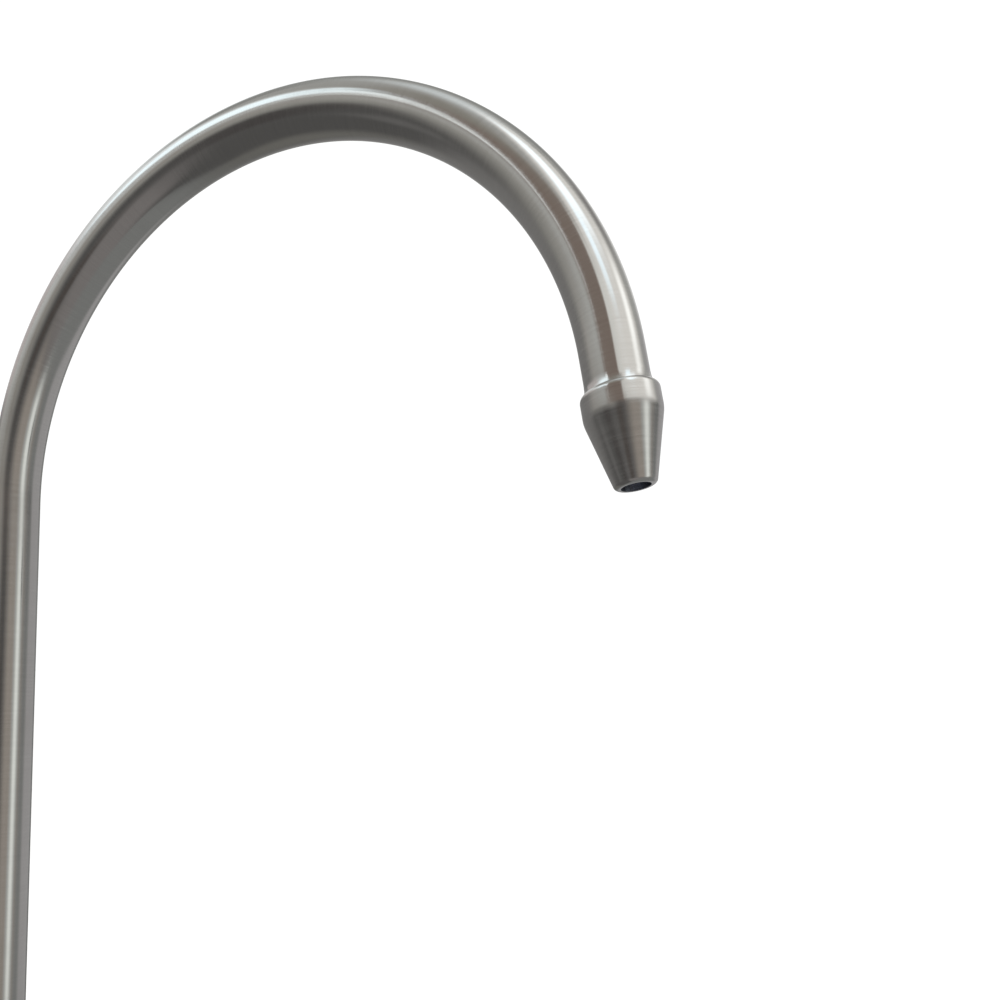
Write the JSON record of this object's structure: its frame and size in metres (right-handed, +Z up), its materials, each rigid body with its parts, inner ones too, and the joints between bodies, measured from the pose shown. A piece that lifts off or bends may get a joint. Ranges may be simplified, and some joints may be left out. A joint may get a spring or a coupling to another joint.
{
  "type": "high-loop faucet",
  "caption": "High-loop drinking-water faucet: bent stainless spout with a tapered turned nozzle, swivelling on a side-lever valve body that clamps through one worktop hole.",
  "frame": {"origin": "centre of the base gasket's underside, on the worktop", "axes": "+Z up along the riser, the spout reaches towards -Y at rest, the lever's hub stands out along +X"},
  "size_m": [0.071, 0.2006, 0.4121],
  "materials": {
    "brushed_stainless": "brushed round and along the tube",
    "turned_stainless": "fine turned and satin brushed",
    "plated_steel": "zinc plated",
    "brass": "machined",
    "rubber": "moulded, matt",
    "slide_plastic": "low-friction, matt",
    "ceramic": "lapped alumina",
    "adapter_plastic": "moulded acetal",
    "collet_plastic": "moulded acetal"
  },
  "bodies": {
    "root": {"valve_body": "turned_stainless", "base_flange": "turned_stainless", "base_gasket": "rubber", "threaded_shank": "plated_steel", "rubber_washer": "rubber", "steel_washer": "plated_steel", "lock_washer": "plated_steel", "lock_nut": "plated_steel", "adapter_body": "adapter_plastic", "adapter_seal": "rubber", "tube_ring": "rubber", "collet_guide": "adapter_plastic", "collar_nut": "turned_stainless", "lower_slide_ring": "slide_plastic", "upper_slide_ring": "slide_plastic", "cartridge_housing": "brass", "cartridge_ring": "rubber", "seat_seal": "rubber", "fixed_disc": "ceramic", "thrust_washer": "slide_plastic", "bonnet": "turned_stainless"},
    "spout": {"spout_tube": "brushed_stainless", "nozzle": "turned_stainless", "spout_stem": "brass", "swivel_rings": "rubber"},
    "lever": {"handle_hub": "turned_stainless", "lever_rod": "turned_stainless", "handle_screw": "plated_steel", "hub_cap": "turned_stainless", "spindle": "brass", "spindle_rings": "rubber", "spindle_clip": "plated_steel", "moving_disc": "ceramic"},
    "release_collet": {"collet": "collet_plastic"}
  },
  "joints": [
    {"name": "spout_swivel", "type": "hinge", "parent": "root", "child": "spout", "pos_m": [0, 0, 0.0585], "axis": [0, 0, 1], "continuous": true},
    {"name": "lever_turn", "type": "hinge", "parent": "root", "child": "lever", "pos_m": [0.0281, 0, 0.03], "axis": [1, 0, 0], "range_deg": [0, 90]},
    {"name": "collet_release", "type": "slide", "parent": "root", "child": "release_collet", "axis": [0, 0, 1], "range_m": [0, 0.0015]}
  ]
}
